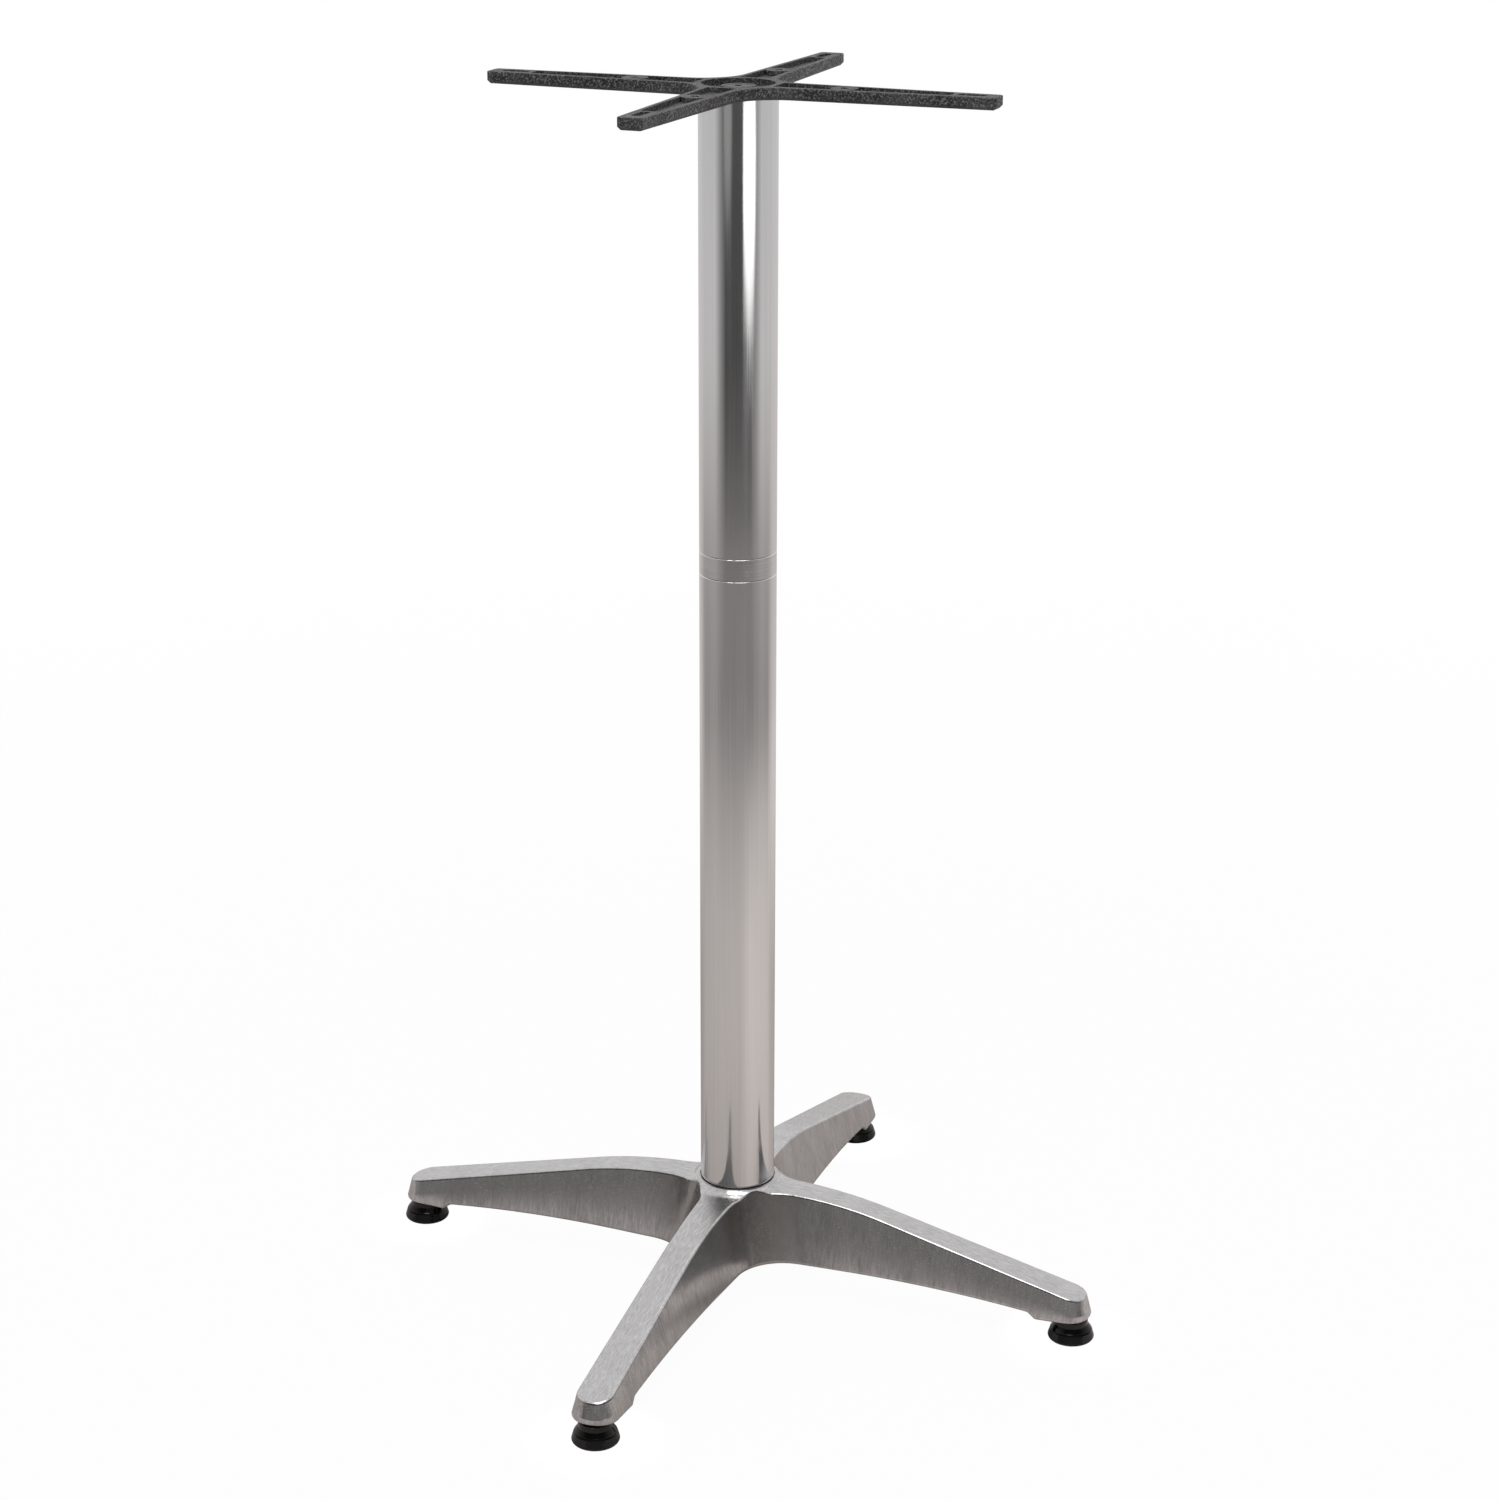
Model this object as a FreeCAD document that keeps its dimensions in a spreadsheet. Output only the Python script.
"""Four star table base, bar height: cast foot star, two piece tube column, cast top spider.

Millimetres. +Z is up, the origin is on the floor on the column's axis, and the arms lie along X and Y.
The star is drawn as it is cast: a drafted outside less a drafted core, which leaves walls and ribs.
"""
import FreeCAD, Part
import math
import os

import Sketcher

ARM_COUNT = 4

# Driving dimensions. Each becomes a named cell of the sheet, and every piece is bound to the cells.
DIMENSIONS = {
    # column: two polished tubes with a joint collar between them
    "total_height": 1060.0,
    "column_diameter": 65.0,
    "column_wall": 2.0,
    "collar_low": 655.0,
    "collar_high": 674.0,
    "collar_spigot": 24.0,
    "collar_bore": 50.0,
    "spigot_clearance": 0.1,
    "seam_chamfer": 0.5,
    # foot star: outline of one arm at the lowest plane, and its draft
    "boss_height": 21.0,
    "arm_reach": 328.8,
    "arm_back": 10.0,
    "tip_half_width": 21.3,
    "tip_corner": 19.5,
    "side_angle": 2.9,
    "draft_angle": 14.4,
    "valley_radius": 45.0,
    "ridge_corner": 0.5,
    # foot star: crown of the arms, seen from the side
    "lip_height": 100.0,
    "lip_flat_radius": 35.5,
    "lip_round": 2.5,
    "flare_radius": 10.0,
    "crown_height": 95.8,
    "crown_flat": 52.5,
    "crown_radius": 376.0,
    "crown_slope": 13.78,
    "crown_end": 345.0,
    # foot star: lower edge of the arms, seen from the side
    "edge_height": 35.5,
    "edge_flat": 110.0,
    "edge_radius": 1500.0,
    "edge_end": 276.0,
    "step_radius": 8.0,
    "step_slope": 36.0,
    "top_round": 2.6,
    "bottom_round": 2.6,
    # foot star: hollow underside, hub socket and ribs
    "wall": 4.5,
    "core_reach": 293.0,
    "core_corner": 14.0,
    "core_valley": 50.0,
    "hub_radius": 44.5,
    "hub_base": 50.0,
    "socket_floor": 58.0,
    "socket_clearance": 0.15,
    "mouth_gap": 1.1,
    "mouth_depth": 3.0,
    "rib_thickness": 4.5,
    "rib_height": 42.0,
    # levelling feet
    "foot_radius": 311.6,
    "stud_diameter": 8.0,
    "thread_clearance": 0.05,
    "stud_top": 37.4,
    "stud_bottom": 4.0,
    "tapped_top": 39.4,
    "pad_height": 19.0,
    "pad_radius": 20.0,
    "pad_base_radius": 18.6,
    "pad_rim_height": 2.6,
    "pad_rim_round": 3.2,
    "pad_skirt_radius": 18.3,
    "pad_skirt_height": 8.4,
    "pad_shoulder_round": 7.0,
    "pad_shoulder_radius": 17.0,
    "pad_shoulder_height": 10.4,
    "pad_neck_radius": 14.4,
    "pad_neck_height": 14.0,
    "pad_top_chamfer": 0.6,
    "pad_dish_depth": 2.0,
    "pad_dish_radius": 11.0,
    "pad_sole_depth": 1.2,
    "pad_sole_radius": 14.5,
    # top spider
    "spider_thickness": 10.0,
    "spider_reach": 218.5,
    "spider_tip_half": 10.8,
    "spider_corner": 3.6,
    "spider_angle": 1.9,
    "spider_valley": 36.0,
    "spider_rim": 4.6,
    "groove_depth": 4.0,
    "groove_start": 34.5,
    "groove_end": 180.0,
    "groove_corner": 2.7,
    "pocket_radius": 30.0,
    "pocket_depth": 5.0,
    "centre_boss_radius": 14.0,
    "centre_boss_drop": 2.0,
    "screw_circle": 90.0,
    "screw_boss_radius": 11.0,
    "screw_hole_radius": 3.25,
    "slot_centre": 196.0,
    "slot_half_length": 12.0,
    "slot_half_width": 4.0,
    "spider_spigot": 14.0,
    "spider_spigot_bore": 26.0,
    "spigot_lead": 1.0,
    "under_chamfer": 2.6,
    "spider_round": 0.9,
    # tie rods, nuts and the top bolt
    "rod_diameter": 10.0,
    "rod_hole": 11.0,
    "rod_bottom": 32.0,
    "rod_gap": 2.0,
    "rod_upper_end": 1030.0,
    "nut_flats": 17.0,
    "nut_height": 8.0,
    "washer_diameter": 30.0,
    "washer_thickness": 3.0,
    "joint_nut_height": 36.0,
    "top_nut_low": 1014.0,
    "top_nut_high": 1048.0,
    "bolt_head_radius": 9.6,
    "bolt_head_land": 0.8,
    "bolt_head_sink": 0.2,
    "bolt_head_clearance": 0.1,
    "bolt_end": 1033.0,
    "bolt_hex": 6.0,
    "bolt_hex_depth": 3.2,
}

doc = FreeCAD.newDocument("FourStarTableBase")


def make_sheet():
    """The spreadsheet that holds every driving dimension under its own word."""
    made = doc.addObject("Spreadsheet::Sheet", "dims")
    for number, (name, amount) in enumerate(DIMENSIONS.items(), start=1):
        made.set(f"A{number}", name)
        made.set(f"B{number}", str(amount))
        made.setAlias(f"B{number}", name)
    doc.recompute()
    return made


sheet = make_sheet()


def dim(name):
    """The number in the cell with this name."""
    return float(sheet.get(name))


def amount_of(expression):
    """The number that an expression on the sheet's cells gives now."""
    found = sheet.evalExpression(expression)
    return float(getattr(found, "Value", found))


def new_body(name):
    """A PartDesign body whose label names the piece."""
    body = doc.addObject("PartDesign::Body", name)
    body.Label = name
    return body


def origin_part(body, role):
    """One of the body's own origin planes or axes."""
    for feature in body.Origin.OriginFeatures:
        if feature.Role == role:
            return feature
    raise ValueError(role)


def new_sketch(body, name, plane="XY_Plane", lift=None):
    """A sketch on one of the body's origin planes, lifted along its normal by an expression."""
    sketch = body.newObject("Sketcher::SketchObject", name)
    sketch.AttachmentSupport = [(origin_part(body, plane), "")]
    sketch.MapMode = "FlatFace"
    if lift:
        sketch.setExpression("AttachmentOffset.Base.z", lift)
    return sketch


def bind(sketch, constraint, expression):
    """Add a measured constraint and tie its value to an expression on the sheet."""
    index = sketch.addConstraint(constraint)
    if expression:
        sketch.setExpression(f"Constraints[{index}]", expression)
    return index


def arc_between(start, end, radius, left):
    """The short arc from start to end; left says that it turns to the left on its way."""
    chord = end - start
    half = chord.Length / 2
    height = math.sqrt(max(radius * radius - half * half, 0.0))
    side = FreeCAD.Vector(-chord.y, chord.x, 0).normalize() * height
    centre = start + chord * 0.5 + (side if left else -side)
    circle = Part.Circle(centre, FreeCAD.Vector(0, 0, 1), radius)
    first = math.atan2(start.y - centre.y, start.x - centre.x)
    last = math.atan2(end.y - centre.y, end.x - centre.x)
    if left:
        return Part.ArcOfCircle(circle, first, last), 1, 2
    return Part.ArcOfCircle(circle, last, first), 2, 1


def draw(sketch, corners):
    """Closed outline through the corners.

    A corner is a dictionary: at is its place in numbers; across and up are the expressions that hold it;
    arc is (radius expression, turns left) for the edge that leaves it, which is otherwise straight;
    smooth says that the two edges that meet there are tangent.
    """
    count = len(corners)
    places = [FreeCAD.Vector(*spot["at"], 0) for spot in corners]
    edges = []
    for index, spot in enumerate(corners):
        start = places[index]
        end = places[(index + 1) % count]
        if spot.get("arc"):
            radius, left = spot["arc"]
            shape, first, last = arc_between(start, end, amount_of(radius), left)
        else:
            shape, first, last = Part.LineSegment(start, end), 1, 2
        edges.append((sketch.addGeometry(shape, False), first, last))
    for index, spot in enumerate(corners):
        before = edges[index - 1]
        after = edges[index]
        kind = "Tangent" if spot.get("smooth") else "Coincident"
        sketch.addConstraint(Sketcher.Constraint(kind, before[0], before[2], after[0], after[1]))
    for index, spot in enumerate(corners):
        edge, first, last = edges[index]
        if spot.get("arc"):
            radius = spot["arc"][0]
            bind(sketch, Sketcher.Constraint("Radius", edge, amount_of(radius)), radius)
        for key, kind in (("across", "DistanceX"), ("up", "DistanceY")):
            if key not in spot:
                continue
            place = spot["at"][0 if key == "across" else 1]
            if spot[key] is None:
                axis = -2 if key == "across" else -1
                sketch.addConstraint(Sketcher.Constraint("PointOnObject", edge, first, axis))
            else:
                bind(sketch, Sketcher.Constraint(kind, -1, 1, edge, first, place), spot[key])
    return [edge[0] for edge in edges]


def corner(across, up, **rest):
    """A corner held by two expressions; its place in numbers is worked out from them."""
    made = {"at": (amount_of(across), amount_of(up)), "across": across, "up": up}
    for key, name in (("across", across), ("up", up)):
        if name == "0":
            made[key] = None
    made.update(rest)
    return made


def circle(sketch, radius, across="0", up="0"):
    """A circle whose radius and centre are bound to the sheet."""
    centre = FreeCAD.Vector(amount_of(across), amount_of(up), 0)
    edge = sketch.addGeometry(Part.Circle(centre, FreeCAD.Vector(0, 0, 1), amount_of(radius)), False)
    bind(sketch, Sketcher.Constraint("Radius", edge, amount_of(radius)), radius)
    if across == "0" and up == "0":
        sketch.addConstraint(Sketcher.Constraint("Coincident", edge, 3, -1, 1))
        return edge
    bind(sketch, Sketcher.Constraint("DistanceX", -1, 1, edge, 3, centre.x), across)
    if up == "0":
        sketch.addConstraint(Sketcher.Constraint("PointOnObject", edge, 3, -1))
    else:
        bind(sketch, Sketcher.Constraint("DistanceY", -1, 1, edge, 3, centre.y), up)
    return edge


def hexagon(sketch, flats):
    """A regular hexagon centred on the origin, by its width across flats."""
    reach = amount_of(flats) / math.sqrt(3)
    tips = [FreeCAD.Vector(reach * math.cos(math.radians(60 * k)), reach * math.sin(math.radians(60 * k)), 0)
            for k in range(6)]
    rim = Part.Circle(FreeCAD.Vector(), FreeCAD.Vector(0, 0, 1), reach)
    guide = sketch.addGeometry(rim, True)
    sketch.addConstraint(Sketcher.Constraint("Coincident", guide, 3, -1, 1))
    bind(sketch, Sketcher.Constraint("Radius", guide, reach), f"{flats} / sqrt(3)")
    sides = [sketch.addGeometry(Part.LineSegment(tips[k], tips[(k + 1) % 6]), False) for k in range(6)]
    for k in range(6):
        sketch.addConstraint(Sketcher.Constraint("Coincident", sides[k - 1], 2, sides[k], 1))
        sketch.addConstraint(Sketcher.Constraint("PointOnObject", sides[k], 1, guide))
    for k in range(1, 6):
        sketch.addConstraint(Sketcher.Constraint("Equal", sides[0], sides[k]))
    sketch.addConstraint(Sketcher.Constraint("PointOnObject", sides[0], 1, -1))


def pad(body, name, sketch, length, down=False):
    """Pad a sketch by a bound length."""
    made = body.newObject("PartDesign::Pad", name)
    made.Profile = sketch
    made.Reversed = down
    made.setExpression("Length", length)
    doc.recompute()
    return made


def cut(body, name, kind, sketch, **settings):
    """Pocket or Groove that has to take material away: its direction is proved by the volume."""
    before = body.Tip.Shape.Volume
    made = body.newObject(f"PartDesign::{kind}", name)
    made.Profile = sketch
    for key, amount in settings.items():
        if isinstance(amount, str) and amount.startswith("dims."):
            made.setExpression(key, amount)
        else:
            setattr(made, key, amount)
    doc.recompute()
    if made.Shape.isNull() or made.Shape.Volume > before - 1.0:
        raise RuntimeError(f"{name} cuts nothing")
    return made


def pocket(body, name, sketch, depth=None, up=True):
    """Pocket upwards or downwards from the sketch, through everything where no depth is given."""
    if depth:
        return cut(body, name, "Pocket", sketch, Type="Length", Length=depth, Reversed=up)
    return cut(body, name, "Pocket", sketch, Type="ThroughAll", Reversed=up)


def groove(body, name, sketch):
    """Turn a profile once round the Z axis and take it away."""
    return cut(body, name, "Groove", sketch, ReferenceAxis=(sketch, ["V_Axis"]), Angle=360.0)


def revolve(body, name, sketch):
    """Turn a profile once round the Z axis."""
    made = body.newObject("PartDesign::Revolution", name)
    made.Profile = sketch
    made.ReferenceAxis = (sketch, ["V_Axis"])
    made.Angle = 360.0
    doc.recompute()
    return made


def round_arms(body, name, features):
    """Repeat features four times round the Z axis."""
    made = body.newObject("PartDesign::PolarPattern", name)
    made.Originals = features
    made.Axis = (origin_part(body, "Z_Axis"), [""])
    made.Angle = 360.0
    made.Occurrences = ARM_COUNT
    body.Tip = made
    doc.recompute()
    return made


def edges_where(shape, test):
    """Names of the edges whose middle point and curve pass the test."""
    names = []
    for number, edge in enumerate(shape.Edges, start=1):
        middle = edge.valueAt((edge.FirstParameter + edge.LastParameter) / 2)
        if test(edge, middle, math.hypot(middle.x, middle.y)):
            names.append(f"Edge{number}")
    return names


def blend(body, name, radius, test, kind="Fillet"):
    """Round (or chamfer) the edges of the body's tip that pass the test."""
    base = body.Tip
    names = edges_where(base.Shape, test)
    made = body.newObject(f"PartDesign::{kind}", name)
    made.Base = (base, names)
    made.setExpression("Radius" if kind == "Fillet" else "Size", radius)
    doc.recompute()
    return made


def arm_outline(sketch, reach, rear_end, half_width, corner_radius, angle):
    """Plan of one arm: it widens evenly from its end, with rounded corners, back to its rear end."""
    end = amount_of(reach)
    rear = amount_of(rear_end)
    half = amount_of(half_width)
    radius = amount_of(corner_radius)
    slope = math.radians(amount_of(angle))
    turn = math.pi / 2 - slope
    flat = half - radius
    corner_side = (end - radius + radius * math.cos(turn), flat + radius * math.sin(turn))
    rear_half = corner_side[1] + (corner_side[0] - rear) * math.tan(slope)
    places = [
        {"at": (rear, -rear_half), "across": rear_end},
        {"at": (corner_side[0], -corner_side[1]), "arc": (corner_radius, True), "smooth": True},
        {"at": (end, -flat), "across": reach, "smooth": True},
        {"at": (end, flat), "arc": (corner_radius, True), "smooth": True},
        {"at": corner_side, "smooth": True},
        {"at": (rear, rear_half)},
    ]
    edges = draw(sketch, places)
    lower, end_line, upper = edges[0], edges[2], edges[4]
    sketch.addConstraint(Sketcher.Constraint("Symmetric", lower, 1, upper, 2, -1))
    bind(sketch, Sketcher.Constraint("DistanceY", end_line, 1, end_line, 2, 2 * flat),
         f"2 * ({half_width} - {corner_radius})")
    sketch.addConstraint(Sketcher.Constraint("Symmetric", end_line, 1, end_line, 2, -1))
    bind(sketch, Sketcher.Constraint("Angle", lower, slope), f"{angle} * 1 deg")


def drafted_arm(body, name, lowest, highest, reach, half_width, corner_radius):
    """One arm of the casting: its plan at the lowest plane narrows upwards at the draft angle."""
    narrowing = f"({highest} - ({lowest})) * tan(dims.draft_angle)"
    plan = new_sketch(body, name + "_plan", lift=lowest)
    arm_outline(plan, reach, "-dims.arm_back", half_width, corner_radius, "dims.side_angle")
    ridge = new_sketch(body, name + "_ridge_plan", lift=highest)
    arm_outline(ridge, f"{reach} - {narrowing}", "-dims.arm_back", f"{half_width} - {narrowing}",
                "dims.ridge_corner", "dims.side_angle")
    made = body.newObject("PartDesign::AdditiveLoft", name)
    made.Profile = plan
    made.Sections = [ridge]
    made.Ruled = True
    doc.recompute()
    return made


def crown_profile(sketch, drop="0", inner=None):
    """Side view of what lies above the arms: the space over the crown, lip and flare.

    The line starts on the hub's flat lip, rounds over it, flares out onto the flat of the crown,
    bends down along a long arc and runs straight to beyond the arm's end. For the core the same
    crown is lowered by the wall, with no lip.
    """
    slope = math.radians(amount_of("dims.crown_slope"))
    fall = amount_of(drop)
    flat = amount_of("dims.crown_flat")
    level = amount_of("dims.crown_height") - fall
    radius = amount_of("dims.crown_radius") - fall
    end = amount_of("dims.crown_end")
    bend = (flat + radius * math.sin(slope), level - radius * (1 - math.cos(slope)))
    tail = (end, bend[1] - (end - bend[0]) * math.tan(slope))
    top = "dims.lip_height + dims.flare_radius"
    down_line = [
        {"at": (flat, level), "across": "dims.crown_flat", "up": f"dims.crown_height - {drop}",
         "arc": (f"dims.crown_radius - {drop}", False), "smooth": True},
        {"at": bend, "smooth": True},
        {"at": tail, "across": "dims.crown_end"},
        corner("dims.crown_end", top),
        corner("0", top),
    ]
    if inner:
        start = [corner("0", f"dims.crown_height - {drop}")]
    else:
        round_over = amount_of("dims.lip_round")
        flare = amount_of("dims.flare_radius")
        lip = amount_of("dims.lip_height")
        tilt = math.acos(1 - (lip - level) / (round_over + flare))
        first = amount_of("dims.lip_flat_radius")
        turn = (first + round_over * math.sin(tilt), lip - round_over * (1 - math.cos(tilt)))
        foot = (turn[0] + flare * math.sin(tilt), level)
        start = [
            corner("0", "dims.lip_height"),
            corner("dims.lip_flat_radius", "dims.lip_height", arc=("dims.lip_round", False), smooth=True),
            {"at": turn, "arc": ("dims.flare_radius", True), "smooth": True},
            {"at": foot, "up": "dims.crown_height", "smooth": True},
        ]
    edges = draw(sketch, start + down_line)
    sloped = edges[len(start) + 1]
    index = sketch.addConstraint(Sketcher.Constraint("Angle", sloped, -slope))
    sketch.setExpression(f"Constraints[{index}]", "-dims.crown_slope * 1 deg")


def edge_profile(sketch):
    """Side view of what lies below the arms: flat near the hub, a slow bow, then the step to the boss."""
    flat = amount_of("dims.edge_flat")
    level = amount_of("dims.edge_height")
    radius = amount_of("dims.edge_radius")
    end = amount_of("dims.edge_end")
    bow = math.asin((end - flat) / radius)
    bow_end = (end, level - radius * (1 - math.cos(bow)))
    steep = math.radians(amount_of("dims.step_slope"))
    turn = amount_of("dims.step_radius")
    knee = (end + turn * (math.sin(steep) - math.sin(bow)),
            bow_end[1] - turn * (math.cos(bow) - math.cos(steep)))
    foot = (knee[0] + knee[1] / math.tan(steep), 0.0)
    edges = draw(sketch, [
        corner("0", "dims.edge_height"),
        corner("dims.edge_flat", "dims.edge_height", arc=("dims.edge_radius", False), smooth=True),
        {"at": bow_end, "across": "dims.edge_end", "arc": ("dims.step_radius", False), "smooth": True},
        {"at": knee, "smooth": True},
        {"at": foot, "up": None},
        corner("0", "0"),
    ])
    index = sketch.addConstraint(Sketcher.Constraint("Angle", edges[3], -steep))
    sketch.setExpression(f"Constraints[{index}]", "-dims.step_slope * 1 deg")


def crown_at(radius):
    """Height of the crown at a distance from the axis, outside the lip."""
    slope = math.radians(dim("crown_slope"))
    flat = dim("crown_flat")
    level = dim("crown_height")
    bend = dim("crown_radius")
    bend_end = flat + bend * math.sin(slope)
    if radius <= flat:
        return level
    if radius <= bend_end:
        return level - bend + math.sqrt(bend ** 2 - (radius - flat) ** 2)
    return level - bend * (1 - math.cos(slope)) - (radius - bend_end) * math.tan(slope)


NEAR = 1.0
SEAM_SIDE = 3.0
STAR_VALLEY_REACH = 70.0
SPIDER_VALLEY_REACH = 40.0


def is_valley(reach, height):
    """Test for the four steep edges where two neighbouring arms meet."""
    return lambda edge, middle, radius: radius < reach and edge.BoundBox.ZLength > height


def is_centre_seam(middle, radius):
    """Edges that run along an arm's middle are seams of a turned face."""
    return min(abs(middle.x), abs(middle.y)) < SEAM_SIDE and radius < dim("arm_reach") - 2 * dim("wall")


def is_crown_edge(edge, middle, radius):
    """The edge all round the star where its sides meet the crown, the flare and the lip."""
    if is_centre_seam(middle, radius) or edge.BoundBox.ZLength > dim("hub_base") + dim("wall"):
        return False
    if radius < dim("crown_flat") + dim("flare_radius"):
        return middle.z > dim("crown_height") - dim("wall")
    return abs(middle.z - crown_at(radius)) < NEAR


def is_lower_edge(edge, middle, radius):
    """The edge all round the star where its sides meet the underside."""
    if is_centre_seam(middle, radius) or radius < dim("hub_radius"):
        return False
    return middle.z < dim("edge_height") + 2 * NEAR


def cast_outside():
    """The foot star as it leaves the mould, still solid underneath, with its socket and holes."""
    body = new_body("casting_outside")
    arm = drafted_arm(body, "arm", "dims.boss_height", "dims.lip_height", "dims.arm_reach",
                      "dims.tip_half_width", "dims.tip_corner")
    round_arms(body, "four_arms", [arm])
    blend(body, "valleys", "dims.valley_radius", is_valley(STAR_VALLEY_REACH, dim("rib_height")))
    over = new_sketch(body, "crown_side", "XZ_Plane")
    crown_profile(over)
    groove(body, "crown", over)
    under = new_sketch(body, "edge_side", "XZ_Plane")
    edge_profile(under)
    groove(body, "lower_edge", under)
    blend(body, "crown_rounding", "dims.top_round", is_crown_edge)
    blend(body, "lower_rounding", "dims.bottom_round", is_lower_edge)
    socket = new_sketch(body, "socket_plan", lift="dims.socket_floor")
    circle(socket, "dims.column_diameter / 2 + dims.socket_clearance")
    pocket(body, "tube_socket", socket)
    mouth = new_sketch(body, "mouth_plan", lift="dims.lip_height - dims.mouth_depth")
    circle(mouth, "dims.column_diameter / 2 + dims.mouth_gap")
    pocket(body, "socket_mouth", mouth)
    rod = new_sketch(body, "rod_hole_plan")
    circle(rod, "dims.rod_hole / 2")
    pocket(body, "rod_hole", rod, depth="dims.lip_height")
    tapped = new_sketch(body, "tapped_plan")
    circle(tapped, "dims.stud_diameter / 2", across="dims.foot_radius")
    first = pocket(body, "tapped_hole", tapped, depth="dims.tapped_top")
    round_arms(body, "tapped_holes", [first])
    return body


def cast_core():
    """The core that leaves the hollow under the arms, the hub and the lengthwise ribs."""
    body = new_body("casting_core")
    arm = drafted_arm(body, "core_arm", "dims.boss_height - dims.wall", "dims.crown_height - 2 * dims.wall",
                      "dims.core_reach",
                      "dims.tip_half_width - dims.wall * (1 - tan(dims.draft_angle))"
                      " + (dims.arm_reach - dims.core_reach) * tan(dims.side_angle)",
                      "dims.core_corner")
    round_arms(body, "core_arms", [arm])
    blend(body, "core_valleys", "dims.core_valley", is_valley(STAR_VALLEY_REACH, dim("rib_height")))
    over = new_sketch(body, "core_side", "XZ_Plane")
    crown_profile(over, drop="dims.wall", inner=True)
    groove(body, "core_crown", over)
    hub = new_sketch(body, "hub_plan", lift="dims.hub_base")
    circle(hub, "dims.hub_radius")
    pocket(body, "hub_left_solid", hub)
    rib = new_sketch(body, "rib_plan", lift="dims.rib_height")
    half = "dims.rib_thickness / 2"
    draw(rib, [corner("dims.hub_radius / 2", f"-{half}"), corner("dims.arm_reach", f"-{half}"),
               corner("dims.arm_reach", half), corner("dims.hub_radius / 2", half)])
    first = pocket(body, "rib_left_solid", rib)
    round_arms(body, "ribs_left_solid", [first])
    return body


def foot_star():
    """The whole casting: the outside less the core."""
    star = doc.addObject("Part::Cut", "base_star")
    star.Label = "base_star"
    star.Base = cast_outside()
    star.Tool = cast_core()
    doc.recompute()
    return star


def ring(body, name, inner, outer, low, high, low_chamfer="0", high_chamfer="0"):
    """Turn a ring whose outer edges may be chamfered."""
    sketch = new_sketch(body, name + "_side", "XZ_Plane")
    places = [corner(inner, low)]
    if low_chamfer == "0":
        places += [corner(outer, low)]
    else:
        places += [corner(f"{outer} - {low_chamfer}", low), corner(outer, f"{low} + {low_chamfer}")]
    if high_chamfer == "0":
        places += [corner(outer, high)]
    else:
        places += [corner(outer, f"{high} - {high_chamfer}"), corner(f"{outer} - {high_chamfer}", high)]
    draw(sketch, places + [corner(inner, high)])
    return revolve(body, name, sketch)


def column_tube(name, low, high, low_chamfer="0", high_chamfer="0"):
    """One length of the column, standing at its height."""
    body = new_body(name)
    ring(body, name + "_wall", "dims.column_diameter / 2 - dims.column_wall", "dims.column_diameter / 2",
         "0", f"{high} - {low}", low_chamfer, high_chamfer)
    body.setExpression("Placement.Base.z", low)
    return body


def joint_collar():
    """The visible band between the tubes, with a spigot into each."""
    body = new_body("column_joint_collar")
    sketch = new_sketch(body, "collar_side", "XZ_Plane")
    bore = "dims.collar_bore / 2"
    inside = "dims.column_diameter / 2 - dims.column_wall - dims.spigot_clearance"
    outside = "dims.column_diameter / 2"
    seam = "dims.seam_chamfer"
    lead = "dims.spigot_lead"
    band = "dims.collar_high - dims.collar_low"
    draw(sketch, [
        corner(bore, "-dims.collar_spigot"),
        corner(f"{inside} - {lead}", "-dims.collar_spigot"),
        corner(inside, f"{lead} - dims.collar_spigot"),
        corner(inside, "0"),
        corner(f"{outside} - {seam}", "0"),
        corner(outside, seam),
        corner(outside, f"{band} - {seam}"),
        corner(f"{outside} - {seam}", band),
        corner(inside, band),
        corner(inside, f"{band} + dims.collar_spigot - {lead}"),
        corner(f"{inside} - {lead}", f"{band} + dims.collar_spigot"),
        corner(bore, f"{band} + dims.collar_spigot"),
    ])
    revolve(body, "collar_turned", sketch)
    body.setExpression("Placement.Base.z", "dims.collar_low")
    return body


def slot(sketch, centre, half_length, half_width):
    """A slot along X with round ends."""
    middle = amount_of(centre)
    half = amount_of(half_length) - amount_of(half_width)
    radius = amount_of(half_width)
    up = FreeCAD.Vector(0, 0, 1)
    far = FreeCAD.Vector(middle + half, 0, 0)
    near = FreeCAD.Vector(middle - half, 0, 0)
    rise = FreeCAD.Vector(0, radius, 0)
    far_end = sketch.addGeometry(
        Part.ArcOfCircle(Part.Circle(far, up, radius), -math.pi / 2, math.pi / 2), False)
    near_end = sketch.addGeometry(
        Part.ArcOfCircle(Part.Circle(near, up, radius), math.pi / 2, 3 * math.pi / 2), False)
    upper = sketch.addGeometry(Part.LineSegment(far + rise, near + rise), False)
    lower = sketch.addGeometry(Part.LineSegment(near - rise, far - rise), False)
    for first, at_first, second, at_second in (
            (far_end, 2, upper, 1), (upper, 2, near_end, 1), (near_end, 2, lower, 1), (lower, 2, far_end, 1)):
        sketch.addConstraint(Sketcher.Constraint("Tangent", first, at_first, second, at_second))
    bind(sketch, Sketcher.Constraint("Radius", far_end, radius), half_width)
    sketch.addConstraint(Sketcher.Constraint("PointOnObject", far_end, 3, -1))
    sketch.addConstraint(Sketcher.Constraint("PointOnObject", near_end, 3, -1))
    reach = f"({half_length} - {half_width})"
    bind(sketch, Sketcher.Constraint("DistanceX", -1, 1, far_end, 3, far.x), f"{centre} + {reach}")
    bind(sketch, Sketcher.Constraint("DistanceX", -1, 1, near_end, 3, near.x), f"{centre} - {reach}")


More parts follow.
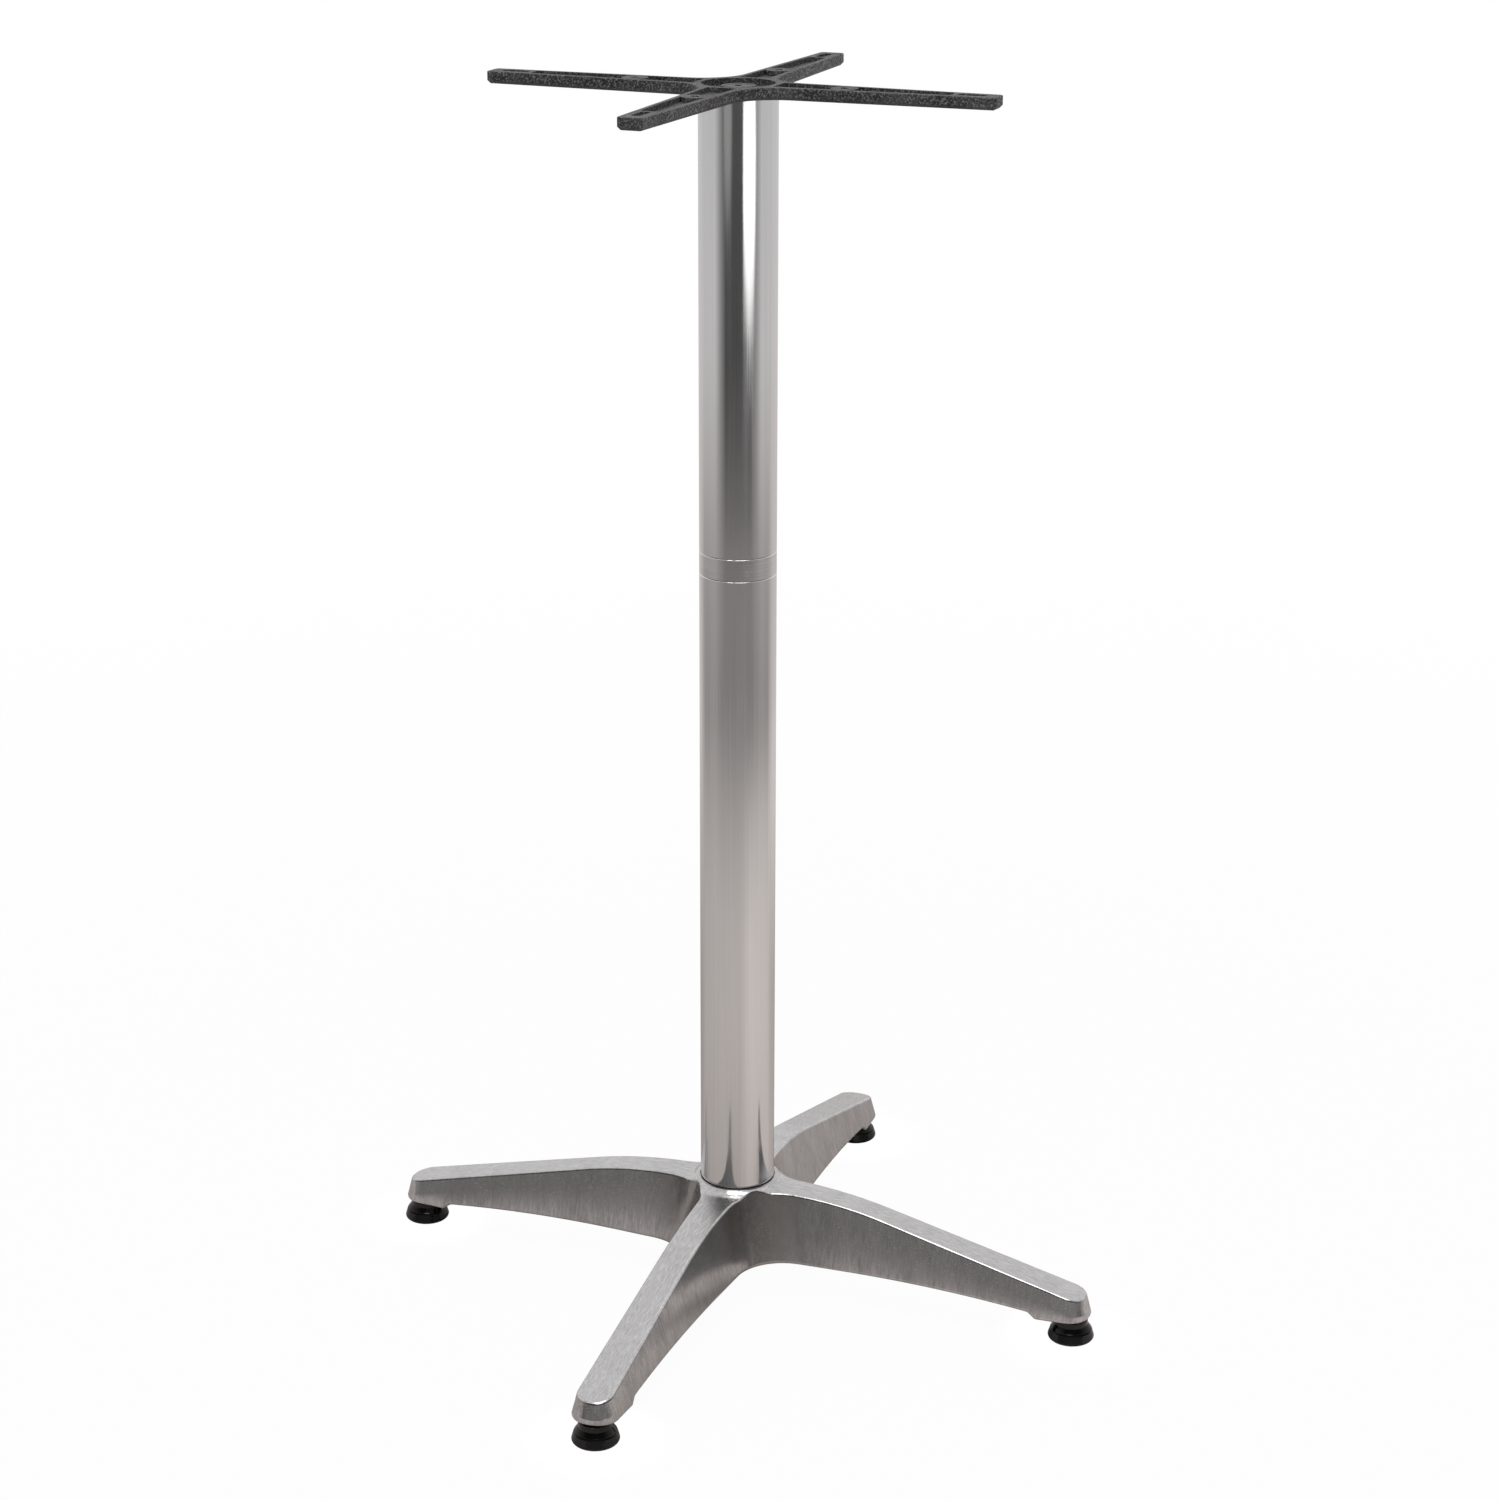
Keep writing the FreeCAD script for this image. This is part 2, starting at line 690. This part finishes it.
def top_spider():
    """The cast spider that the table top is screwed to."""
    body = new_body("top_spider")
    top = "dims.total_height"
    under = "dims.total_height - dims.spider_thickness"
    plan = new_sketch(body, "spider_plan", lift=under)
    arm_outline(plan, "dims.spider_reach", "-dims.spider_tip_half", "dims.spider_tip_half",
                "dims.spider_corner", "dims.spider_angle")
    arm = pad(body, "spider_arm", plan, "dims.spider_thickness")
    round_arms(body, "spider_arms", [arm])
    blend(body, "spider_valleys", "dims.spider_valley",
          is_valley(SPIDER_VALLEY_REACH, dim("spider_thickness") - NEAR))
    low = dim("total_height") - dim("spider_thickness")
    blend(body, "parting_chamfer", "dims.under_chamfer",
          lambda edge, middle, radius: middle.z < low + dim("thread_clearance"), kind="Chamfer")
    high = dim("total_height")
    blend(body, "worn_edge", "dims.spider_round",
          lambda edge, middle, radius: middle.z > high - dim("thread_clearance"))
    dish = new_sketch(body, "dish_plan", lift=top)
    circle(dish, "dims.pocket_radius")
    pocket(body, "centre_dish", dish, depth="dims.pocket_depth", up=False)
    boss = new_sketch(body, "boss_plan", lift=f"{top} - dims.pocket_depth")
    circle(boss, "dims.centre_boss_radius")
    pad(body, "centre_boss", boss, "dims.pocket_depth - dims.centre_boss_drop")
    channel = new_sketch(body, "channel_plan", lift=top)
    arm_outline(channel, "dims.groove_end", "dims.groove_start",
                "dims.spider_tip_half - dims.spider_rim"
                " + (dims.spider_reach - dims.groove_end) * tan(dims.spider_angle)",
                "dims.groove_corner", "dims.spider_angle")
    channel_cut = pocket(body, "channel", channel, depth="dims.groove_depth", up=False)
    screw_boss = new_sketch(body, "screw_boss_plan", lift=top)
    circle(screw_boss, "dims.screw_boss_radius", across="dims.screw_circle")
    screw_boss_pad = pad(body, "screw_boss", screw_boss, "dims.groove_depth", down=True)
    screw = new_sketch(body, "screw_plan", lift=top)
    circle(screw, "dims.screw_hole_radius", across="dims.screw_circle")
    slot(screw, "dims.slot_centre", "dims.slot_half_length", "dims.slot_half_width")
    screw_cut = pocket(body, "screw_hole_and_slot", screw, up=False)
    round_arms(body, "four_channels", [channel_cut, screw_boss_pad, screw_cut])
    spigot = new_sketch(body, "spigot_plan", lift=under)
    circle(spigot, "dims.column_diameter / 2 - dims.column_wall - dims.spigot_clearance")
    circle(spigot, "dims.spider_spigot_bore")
    pad(body, "tube_spigot", spigot, "dims.spider_spigot", down=True)
    seat = new_sketch(body, "bolt_seat_side", "XZ_Plane")
    cone_top = f"{top} - dims.centre_boss_drop - dims.bolt_head_sink - dims.bolt_head_land"
    wide = "dims.bolt_head_radius + dims.bolt_head_clearance"
    draw(seat, [
        corner("0", f"{under} - dims.spider_spigot"),
        corner("dims.rod_hole / 2", f"{under} - dims.spider_spigot"),
        corner("dims.rod_hole / 2", f"{cone_top} - (dims.bolt_head_radius - dims.rod_hole / 2)"),
        corner(wide, f"{cone_top} + dims.bolt_head_clearance"),
        corner(wide, top),
        corner("0", top),
    ])
    groove(body, "bolt_seat", seat)
    return body


def threaded_rod(name, low, high):
    """A length of tie rod; its thread is drawn as a plain round bar."""
    body = new_body(name)
    sketch = new_sketch(body, name + "_plan")
    circle(sketch, "dims.rod_diameter / 2 - dims.thread_clearance")
    pad(body, name + "_bar", sketch, f"{high} - {low}")
    body.setExpression("Placement.Base.z", low)
    return body


def hexagon_nut(name, low, height):
    """A hexagon nut or a long coupling nut, standing at its height."""
    body = new_body(name)
    sketch = new_sketch(body, name + "_plan")
    hexagon(sketch, "dims.nut_flats")
    circle(sketch, "dims.rod_diameter / 2")
    pad(body, name + "_block", sketch, height)
    body.setExpression("Placement.Base.z", low)
    return body


def bottom_washer():
    """The wide washer under the hub."""
    body = new_body("rod_bottom_washer")
    ring(body, "washer_disc", "dims.rod_hole / 2 - dims.thread_clearance", "dims.washer_diameter / 2",
         "0", "dims.washer_thickness")
    body.setExpression("Placement.Base.z", "dims.hub_base - dims.washer_thickness")
    return body


def top_bolt():
    """The countersunk socket bolt that pulls the spider down onto the column."""
    body = new_body("top_bolt")
    face = "dims.total_height - dims.centre_boss_drop - dims.bolt_head_sink"
    shank = "dims.rod_diameter / 2 - dims.thread_clearance"
    sketch = new_sketch(body, "bolt_side", "XZ_Plane")
    draw(sketch, [
        corner("0", "dims.bolt_end"),
        corner(shank, "dims.bolt_end"),
        corner(shank, f"{face} - dims.bolt_head_land - (dims.bolt_head_radius - ({shank}))"),
        corner("dims.bolt_head_radius", f"{face} - dims.bolt_head_land"),
        corner("dims.bolt_head_radius", face),
        corner("0", face),
    ])
    revolve(body, "bolt_turned", sketch)
    socket = new_sketch(body, "bolt_socket_plan", lift=face)
    hexagon(socket, "dims.bolt_hex")
    pocket(body, "bolt_socket", socket, depth="dims.bolt_hex_depth", up=False)
    return body


def foot_placement(number):
    """Where the levelling foot under this arm stands."""
    turn = 360.0 / ARM_COUNT * (number - 1)
    spin = FreeCAD.Rotation(FreeCAD.Vector(0, 0, 1), turn)
    return FreeCAD.Placement(spin.multVec(FreeCAD.Vector(dim("foot_radius"), 0, 0)), spin)


def foot_pad(number):
    """The moulded glide: hollow sole, domed skirt, waist and dished top, bored for the stud."""
    body = new_body(f"foot_pad_{number}")
    sketch = new_sketch(body, f"foot_pad_side_{number}", "XZ_Plane")
    stud = "dims.stud_diameter / 2 - dims.thread_clearance"
    draw(sketch, [
        corner("0", "dims.pad_sole_depth"),
        corner("dims.pad_sole_radius", "dims.pad_sole_depth"),
        corner("dims.pad_sole_radius", "0"),
        corner("dims.pad_base_radius", "0", arc=("dims.pad_rim_round", True)),
        corner("dims.pad_radius", "dims.pad_rim_height"),
        corner("dims.pad_skirt_radius", "dims.pad_skirt_height", arc=("dims.pad_shoulder_round", True)),
        corner("dims.pad_shoulder_radius", "dims.pad_shoulder_height"),
        corner("dims.pad_neck_radius", "dims.pad_neck_height"),
        corner("dims.pad_neck_radius", "dims.pad_height - dims.pad_top_chamfer"),
        corner("dims.pad_neck_radius - dims.pad_top_chamfer", "dims.pad_height"),
        corner("dims.pad_dish_radius", "dims.pad_height"),
        corner("dims.pad_dish_radius", "dims.pad_height - dims.pad_dish_depth"),
        corner(stud, "dims.pad_height - dims.pad_dish_depth"),
        corner(stud, "dims.stud_bottom"),
        corner("0", "dims.stud_bottom"),
    ])
    revolve(body, f"foot_pad_turned_{number}", sketch)
    body.Placement = foot_placement(number)
    return body


def foot_stud(number):
    """The steel stud moulded into the glide; its thread is drawn as a plain round bar."""
    body = new_body(f"foot_stud_{number}")
    sketch = new_sketch(body, f"foot_stud_plan_{number}", lift="dims.stud_bottom")
    circle(sketch, "dims.stud_diameter / 2 - dims.thread_clearance")
    pad(body, f"foot_stud_bar_{number}", sketch, "dims.stud_top - dims.stud_bottom")
    body.Placement = foot_placement(number)
    return body


def build():
    """Every piece of the table base, in the order in which it goes together."""
    seam = "dims.seam_chamfer"
    joint = "(dims.collar_low + dims.collar_high) / 2"
    pieces = [
        foot_star(),
        column_tube("lower_column_tube", "dims.socket_floor", "dims.collar_low", high_chamfer=seam),
        joint_collar(),
        column_tube("upper_column_tube", "dims.collar_high", "(dims.total_height - dims.spider_thickness)",
                    low_chamfer=seam),
        top_spider(),
        threaded_rod("tie_rod_lower", "dims.rod_bottom", f"({joint} - dims.rod_gap / 2)"),
        threaded_rod("tie_rod_upper", f"({joint} + dims.rod_gap / 2)", "dims.rod_upper_end"),
        hexagon_nut("rod_joint_nut", f"{joint} - dims.joint_nut_height / 2", "dims.joint_nut_height"),
        hexagon_nut("rod_top_nut", "dims.top_nut_low", "dims.top_nut_high - dims.top_nut_low"),
        hexagon_nut("rod_bottom_nut", "dims.hub_base - dims.washer_thickness - dims.nut_height",
                    "dims.nut_height"),
        bottom_washer(),
        top_bolt(),
    ]
    for number in range(1, ARM_COUNT + 1):
        pieces += [foot_stud(number), foot_pad(number)]
    doc.recompute()
    return pieces


def check(pieces):
    """Stop where any object failed to recompute or any piece has no sound solid."""
    for thing in doc.Objects:
        if {"Invalid", "Error"} & set(thing.State):
            raise RuntimeError(f"{thing.Label} failed: {thing.State}")
    for piece in pieces:
        shape = piece.Shape
        if shape.isNull() or not shape.isValid() or len(shape.Solids) != 1:
            raise RuntimeError(f"{piece.Label} is not one sound solid")


def write(pieces):
    """One STEP file for each piece, named after it."""
    os.makedirs("parts", exist_ok=True)
    for piece in pieces:
        piece.Shape.exportStep(f"parts/{piece.Label}.step")
        print(piece.Label, round(piece.Shape.Volume / 1000.0, 2), "cm3")


made = build()
check(made)
write(made)
